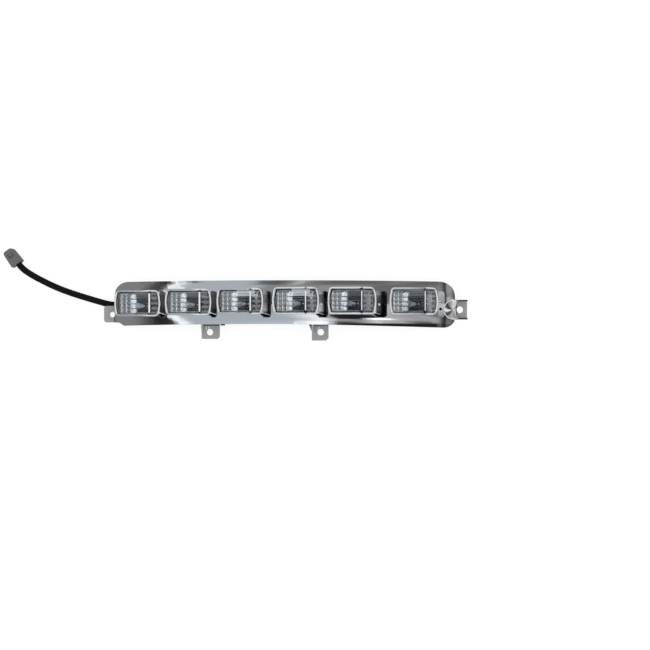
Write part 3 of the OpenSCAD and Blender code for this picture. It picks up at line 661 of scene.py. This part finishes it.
def makeLead():
    line = smoothRoute(lead["route"], lead["steps"])
    sides = lead["sides"]
    work = bmesh.new()
    rings, travel, travels = [], 0, []
    for k, point in enumerate(line):
        if k:
            travel += (point - line[k - 1]).length
        travels.append(travel)
        ahead = (line[min(k + 1, len(line) - 1)] - line[max(k - 1, 0)]).normalized()
        side = Vector((0, 0, 1)).cross(ahead).normalized()
        turn = Matrix((side, ahead.cross(side), ahead)).transposed().to_4x4()
        ring = bmesh.ops.create_circle(work, segments=sides, radius=lead["diameter"] / 2,
                                       matrix=Matrix.Translation(point) @ turn)
        rings.append(ring["verts"])
    place = {v: (k, j) for k, ring in enumerate(rings) for j, v in enumerate(ring)}
    for pair in zip(rings, rings[1:]):
        edges = {e for ring in pair for v in ring for e in v.link_edges if e.other_vert(v) in ring}
        bmesh.ops.bridge_loops(work, edges=list(edges))
    uv = work.loops.layers.uv.new("weave")
    for face in work.faces:
        face.smooth = True
        around = [place[loop.vert][1] for loop in face.loops]
        wraps = max(around) - min(around) > sides / 2
        for loop in face.loops:
            k, j = place[loop.vert]
            loop[uv].uv = (travels[k] / lead["weavePitch"], (j + sides * (wraps and j == 0)) / sides)
    bmesh.ops.holes_fill(work, edges=[e for e in work.edges if e.is_boundary], sides=0)
    bmesh.ops.recalc_face_normals(work, faces=work.faces)
    mesh = bpy.data.meshes.new("leadSleeve")
    bmesh.ops.scale(work, vec=(mm, mm, mm), verts=work.verts)
    work.to_mesh(mesh)
    work.free()
    piece = addPiece(mesh, "leadSleeve", finish("wovenSleeve", wovenSleeve))
    path = [tuple(mm * c for c in point) for point in line]
    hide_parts("lead")
    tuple(path[0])


# Lenses: the moulded blocks with their front edges rounded and painted as highlights, and glue on their rear
# ring, painted pale as light
lens = {
    "edge": 0.5, "ribEdges": (1, 1, 0.8, 0.7, 0.6, 0.6), "innerEdge": 0.35, "segments": 3, "frontArea": 150,
    "sharp": 35, "merge": 0.01, "flat": 0.2, "ring": 0.05, "ribTilt": 0.1, "rimHeight": 4, "inset": 2.2,
    # glue: a tone raised as painted light in the shaded gap round each lens
    "behindRib": 2.5, "glue": (0.6, 0.61, 0.62),
}


def nodeCopy(name):  # a node's mesh, merged, with its flat faces whole again
    work = bmesh.new()
    work.from_mesh(nodes[name].data)
    bmesh.ops.remove_doubles(work, verts=work.verts, dist=lens["merge"] * mm)
    bmesh.ops.dissolve_limit(work, angle_limit=radians(lens["flat"]), verts=work.verts, edges=work.edges)
    for face in work.faces:
        face.material_index = 0
        face.smooth = True
    return work


def toMesh(work, name):
    mesh = bpy.data.meshes.new(name)
    work.to_mesh(mesh)
    work.free()
    if "custom_normal" in mesh.attributes:
        mesh.attributes.remove(mesh.attributes["custom_normal"])
    mesh.set_sharp_from_angle(angle=radians(lens["sharp"]))
    return mesh


def makeLens(cell, glue, flute):  # material 0 is the wall, 1 the edges, 2 the glue and 3 the flutes
    work = nodeCopy(f"lens_{cell}")
    low = min(v.co.z for v in work.verts)
    frontArea = lens["frontArea"] * mm * mm

    def slopes(edge):  # how far each of an edge's two faces looks up
        return sorted(face.normal.z for face in edge.link_faces) if len(edge.link_faces) == 2 else (0, 0)

    def isRib(edge):
        below, above = slopes(edge)
        tilt = abs(edge.verts[0].co.x - edge.verts[1].co.x)
        return below > 0.2 and above - below > 0.05 and tilt < lens["ribTilt"] * mm

    def isRim(edge):
        below, above = slopes(edge)
        height = min(v.co.z for v in edge.verts) - low
        return abs(below) < 0.1 and above > 0.2 and height > lens["rimHeight"] * mm

    def isInner(edge):
        below, above = slopes(edge)
        wide = any(face.calc_area() > frontArea and face.normal.z < 0 for face in edge.link_faces)
        return below < -0.2 and abs(above) < 0.1 and wide

    spot = cellPlace(cell)
    inset, start = lens["inset"] * mm, spot["rib"] - lens["behindRib"] * mm
    for face in work.faces:
        middle = face.calc_center_median()
        deep = abs(middle.y - spot["middle"]) < spot["half"] - inset
        behind = deep and start < middle.x < spot["right"] - inset
        outside = face.normal.z > 0.2 and face.calc_area() > frontArea
        if all(v.co.z < low + lens["ring"] * mm for v in face.verts):
            face.material_index = 2
        if behind and face.normal.z < 0.9 and not outside:
            face.material_index = 3
    sizes = {isRib: lens["ribEdges"][cell - 1], isRim: lens["edge"], isInner: lens["innerEdge"]}
    for kind, size in sizes.items():
        edges = [e for e in work.edges if kind(e)]
        rounded = bmesh.ops.bevel(work, geom=edges, offset=size * mm, offset_type="OFFSET",
                                  segments=lens["segments"], profile=0.5, affect="EDGES", material=-1)
        for face in rounded["faces"]:
            face.material_index = 1
            face.smooth = True
        work.normal_update()
        print("lens", cell, kind.__name__, len(edges), "edges", len(rounded["faces"]), "faces")
    name = f"lensBlock_{cell}"
    piece = addPiece(toMesh(work, name), name, finish(f"clearLens_{cell}", clearLens(cell)),
                     finish(f"edgeHighlight_{cell}", edgeHighlight(cell)), glue, flute)
    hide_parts(f"lens_{cell}")


def makeLenses():
    # painted light: the glue is pale so the shaded ring round each lens reads mid-grey
    glue = finish("glueWithPaintedLight", mouldedPlastic(lens["glue"], 1500, (0.5, 0.7)))
    flute = finish("clearFlute", clearFlute)
    for cell in cells:
        makeLens(cell, glue, flute)


# Finishes of the pieces that stay as they are in the CAD
nodeFinish = {
    "bezel": finish("chromePlate", chromePlate),
    "rear_housing": finish("blackTubPlastic", mouldedPlastic((0.022, 0.022, 0.024))),
    "housing_seal": finish("sealRubber", mouldedPlastic((0.02, 0.02, 0.02), 900, (0.7, 0.85), 0.05)),
    "housing_screws": finish("zincedSteel", turnedSteel),
    "vent_cap": finish("ventPlastic", mouldedPlastic((0.75, 0.75, 0.74), 1200)),
    "driver_board": finish("greenSolderMask", solderMask((0.05, 0.22, 0.1), (0.03, 0.12, 0.05))),
    "driver_coil": finish("coilFerrite", mouldedPlastic((0.16, 0.14, 0.13), 2200, (0.6, 0.8))),
    "driver_capacitors": finish("capacitorCan", turnedSteel),
    "driver_chips": finish("chipResin", mouldedPlastic((0.03, 0.03, 0.03), 3000, (0.5, 0.7))),
    "connector_body": finish("plugPlastic", mouldedPlastic((0.135, 0.135, 0.14), 2000, (0.4, 0.55))),
    "connector_lock": finish("lockPlastic", mouldedPlastic((0.1, 0.1, 0.105), 2000, (0.4, 0.55))),
    "wire_seal": finish("sealSilicone", mouldedPlastic((0.2, 0.22, 0.07), 1500, (0.35, 0.5))),
    "connector_terminals": finish("tinnedBrass", turnedSteel),
}
nodeFinish["cable_grommet"] = nodeFinish["housing_seal"]
whiteMask = finish("whiteSolderMask", solderMask((0.86, 0.86, 0.84), (0.62, 0.6, 0.55)))
for cell in cells:
    nodeFinish[f"reflector_{cell}"] = finish(f"mirrorCoat_{cell}", mirrorCoat(cell))
    nodeFinish[f"light_guide_{cell}"] = finish(f"clearAcrylic_{cell}", clearAcrylic(cell))
    nodeFinish[f"led_{cell}"] = finish(f"ledPackage_{cell}", ledPackage(cell))
    nodeFinish[f"led_board_{cell}"] = whiteMask

setCamera()
makeLead()
print("lead made")
makeLenses()
print("lenses made")
for name, material in nodeFinish.items():
    paint(nodes[name], material)
print("nodes painted")


# Sky: what the plate sees as softboxes and dark flags. Its rows run along the lamp, from left to right:
# an inner and an outer row on each side, and centre, below and over for faces that look nearly straight up
grey, dark, black, soft = 0.26, 0.09, 0.02, (0.5, 0.54, 0.57)
sky = {
    "topInner": (
        (0.344, grey), (0.355, dark), (0.36, black), (0.3675, black), (0.37, 1.3), (0.377, 1.2),
        (0.382, soft), (0.455, soft), (0.465, 0.3), (0.55, 0.34), (0.575, 0.17), (0.62, 0.19), (0.65, 0.3),
        (0.7, 0.55), (0.74, 0.75), (0.8, 0.6), (0.88, 0.7), (0.93, 0.15), (1.0, 0.1),
    ),
    "topOuter": (
        (0.346, grey), (0.357, dark), (0.363, black), (0.371, black), (0.374, 1.3), (0.381, 1.2),
        (0.386, soft), (0.442, soft), (0.452, 0.17), (0.468, 0.12), (0.48, 0.25), (0.487, 0.65),
        (0.495, 0.25), (0.52, 0.15), (0.56, 0.16), (0.58, 0.24), (0.6, 0.16), (0.63, 0.15), (0.7, 0.5),
        (0.78, 0.7), (0.86, 0.6), (0.93, 0.12), (1.0, 0.1),
    ),
    "lowInner": (
        (0.338, grey), (0.349, 0.1), (0.356, black), (0.3715, black), (0.3735, 1.3), (0.38, 1.2),
        (0.385, soft), (0.49, soft), (0.502, 0.75), (0.515, 1.1), (0.522, 1.0), (0.532, 0.45), (0.545, 0.42),
        (0.553, 0.27), (0.558, 0.28), (0.567, 0.78), (0.576, 0.55), (0.6, 0.5), (0.615, 0.4), (0.63, 0.45),
        (0.645, 0.17), (0.7, 0.4), (0.76, 0.6), (0.84, 0.6), (0.93, 0.12), (1.0, 0.1),
    ),
    "lowOuter": (
        (0.338, grey), (0.349, 0.1), (0.358, black), (0.374, 0.04), (0.377, 1.3), (0.384, 1.2),
        (0.388, soft), (0.484, (0.6, 0.64, 0.66)), (0.495, 1.3), (0.515, 1.4), (0.52, 0.5),
        (0.525, 0.05), (0.54, 0.12),
        (0.55, 0.3), (0.562, 0.85), (0.572, 0.52), (0.587, 0.5), (0.597, 0.16), (0.61, 0.11), (0.618, 0.4),
        (0.63, 0.45), (0.7, 0.25), (0.76, 0.6), (0.84, 0.15), (1.0, 0.4),
    ),
    "centre": (
        (0.0, 0.02), (0.15, 0.02), (0.18, 0.06), (0.2, 0.5), (0.25, 0.55), (0.27, 1.0), (0.31, 1.0),
        (0.33, 0.06), (0.44, 0.04), (0.56, 0.06), (0.6, 0.3), (0.66, 0.35), (0.7, 0.9), (0.73, 0.3),
        (0.8, 0.5), (0.86, 1.0), (0.9, 0.3), (1.0, 0.2),
    ),
    "below": (
        (0.0, 0.02), (0.2, 0.1), (0.25, 1.0), (0.31, 1.0), (0.33, 0.1), (0.44, 0.4), (0.6, 0.6),
        (0.68, 0.15), (0.74, 0.6), (0.8, 0.6), (0.84, 0.2), (0.94, 0.3), (0.98, 1.0),
    ),
    "over": (
        (0.0, 0.02), (0.2, 0.1), (0.25, 1.0), (0.31, 1.0), (0.33, 0.1), (0.44, 0.13), (0.6, 0.17),
        (0.7, 0.1), (0.74, 0.6), (0.8, 0.6), (0.84, 0.2), (0.94, 0.3), (0.98, 1.0),
    ),
    "lean": (0.73, 0.12), "outer": (0.75, 0.83), "centreBand": (0.45, 0.475, 0.525, 0.55),
    "overhead": ((0.4, 1.0), (0.55, 0.0)), "horizon": ((0.02, 1.0), (0.2, 0.0)), "horizonSteep": (0.6, 0.8),
    "glint": {"wide": (0.7, 0.73, 0.8, 0.84), "y": (0.1, 0.14, 0.3, 0.36), "tone": (1.5,)},
    "underLast": {"along": (0.53, 0.537, 0.578, 0.588), "steep": (0.52, 0.57, 0.715, 0.745),
                  "tone": (0.015, 0.015, 0.018)},
    "streak": {"along": (0.56, 0.57, 0.582, 0.592), "steep": (0.68, 0.695, 0.745, 0.76), "tone": (1.8,)},
    "tick": {"along": (0.385, 0.389, 0.392, 0.396), "steep": (0.82, 0.85), "tone": (0.08, 0.09, 0.1)},
    "lowEdge": {"along": (0.515, 0.53), "steep": (0.85, 0.87), "tone": (0.02, 0.02, 0.022)},
}
studio = {
    "level": 0.97, "floor": (0.97, 0.98), "grainScale": 40, "floorSize": 6, "floorGap": 0.05, "glow": 0.8,
    "glowStrength": 1.08, "seenFloor": (0.22, 0.23, 0.24), "bounces": (24, 12, 24),
}


def makeSky():
    world = bpy.data.worlds.new("studio")
    bpy.context.scene.world = world
    world.use_nodes = True
    world.node_tree.nodes.clear()
    wire = Wire(world.node_tree)
    x, y, z = axes(wire.make("TexCoord", None, None, "Generated"))
    steep = y.math("ABSOLUTE")
    leanFrom, lean = sky["lean"]
    along = (x - (steep - leanFrom) * lean) * 0.5 + 0.5
    wide = x * 0.5 + 0.5

    def patch(seen, name, run, side):  # a soft-edged patch on one side of the lamp
        spot = sky[name]
        mask = blend(run, *spot["along"]) * blend(steep, *spot["steep"]) * side
        return mixColour(mask, seen, rgb(*spot["tone"]))

    outer = blend(steep, *sky["outer"])
    top = mixColour(outer, ramp(along, *sky["topInner"]), ramp(along, *sky["topOuter"]))
    low = mixColour(outer, ramp(along, *sky["lowInner"]), ramp(along, *sky["lowOuter"]))
    above = mixColour(y > 0, ramp(wide, *sky["below"]), ramp(wide, *sky["over"]))
    above = mixColour(blend(y * 0.5 + 0.5, *sky["centreBand"]), above, ramp(wide, *sky["centre"]))
    glint = sky["glint"]
    above = mixColour(blend(wide, *glint["wide"]) * blend(y, *glint["y"]), above, rgb(*glint["tone"]))
    seen = mixColour(ramp(steep, *sky["overhead"]), mixColour(y > 0, low, top), above)
    seen = patch(seen, "underLast", along, y < 0)
    seen = mixColour(ramp(z, *sky["horizon"]) * blend(steep, *sky["horizonSteep"]), seen, rgb(1))
    seen = patch(seen, "streak", along, y < 0)
    seen = patch(seen, "tick", along, y > 0)
    seen = patch(seen, "lowEdge", wide, y < 0)
    seenDirectly = wire.make("LightPath", None, None, "Is Camera Ray")
    tone = mixColour(seenDirectly.also("Is Diffuse Ray"), seen, rgb(studio["level"]))
    back = wire.make("Background", None, {"Color": mixColour(seenDirectly, tone, rgb(1)), "Strength": 1})
    wire.make("OutputWorld", None, {"Surface": back})


# Floor: pale paper that keeps the lamp's shadow, and that metal sees darker
def makeFloor():
    work = bmesh.new()
    bmesh.ops.create_grid(work, x_segments=1, y_segments=1, size=studio["floorSize"] / 2,
                          matrix=Matrix.Translation((0, 0, -studio["floorGap"] * mm)))
    mesh = bpy.data.meshes.new("floor")
    work.to_mesh(mesh)
    work.free()
    floor = bpy.data.objects.new("floor", mesh)
    bpy.context.scene.collection.objects.link(floor)

    def paperSweep(wire):
        grain = noise(wire, objectPlace(wire), studio["grainScale"], 3)
        pale, paler = [wire.make("BsdfDiffuse", None, {"Color": rgb(tone)}) for tone in studio["floor"]]
        glow = wire.make("Emission", None, {"Color": rgb(1), "Strength": studio["glowStrength"]})
        sheet = mixShader(studio["glow"], mixShader(grain, pale, paler), glow)
        dull = wire.make("Emission", None, {"Color": rgb(*studio["seenFloor"]), "Strength": 1})
        return mixShader(wire.make("LightPath", None, None, "Is Glossy Ray"), sheet, dull)

    paint(floor, finish("paperSweep", paperSweep))


makeSky()
makeFloor()
bpy.context.scene.view_settings.view_transform = "Standard"
cycles = bpy.context.scene.cycles
cycles.max_bounces, cycles.glossy_bounces, cycles.transmission_bounces = studio["bounces"]
print("studio made")
